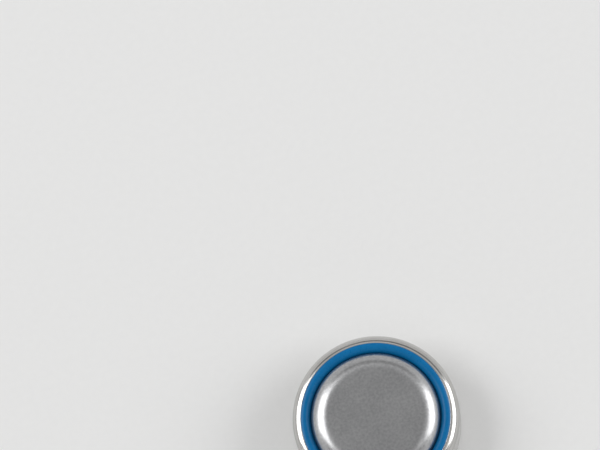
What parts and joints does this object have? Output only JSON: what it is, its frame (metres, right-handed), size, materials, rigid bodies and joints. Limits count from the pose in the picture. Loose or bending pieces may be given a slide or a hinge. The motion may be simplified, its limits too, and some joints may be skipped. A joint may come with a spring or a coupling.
{
  "type": "silver oxide button cell",
  "caption": "Small round silver oxide cell: a nickel-plated can crimped over a blue nylon seal, with a raised satin cap as the negative pole.",
  "frame": {"origin": "centre of the positive face, on the underside of the can", "axes": "+Z along the cell's axis, from the positive face to the negative face"},
  "size_m": [0.0094, 0.0094, 0.0036],
  "materials": {
    "nickel_plate": "bright nickel plate on drawn steel",
    "clad_cap": "satin nickel face of a clad sheet",
    "seal_nylon": "moulded nylon, half gloss",
    "ring_steel": "nickel plate, dull",
    "silver_oxide": "pressed powder with graphite",
    "membrane": "thin film, half clear in the real cell",
    "felt": "non-woven felt, wet",
    "zinc_gel": "metal powder in a stiff gel"
  },
  "bodies": {
    "root": {"positive_can": "nickel_plate", "support_ring": "ring_steel", "cathode_pellet": "silver_oxide", "barrier_film": "membrane", "absorbent_pad": "felt", "zinc_anode": "zinc_gel", "gasket": "seal_nylon", "negative_cap": "clad_cap"}
  },
  "joints": []
}
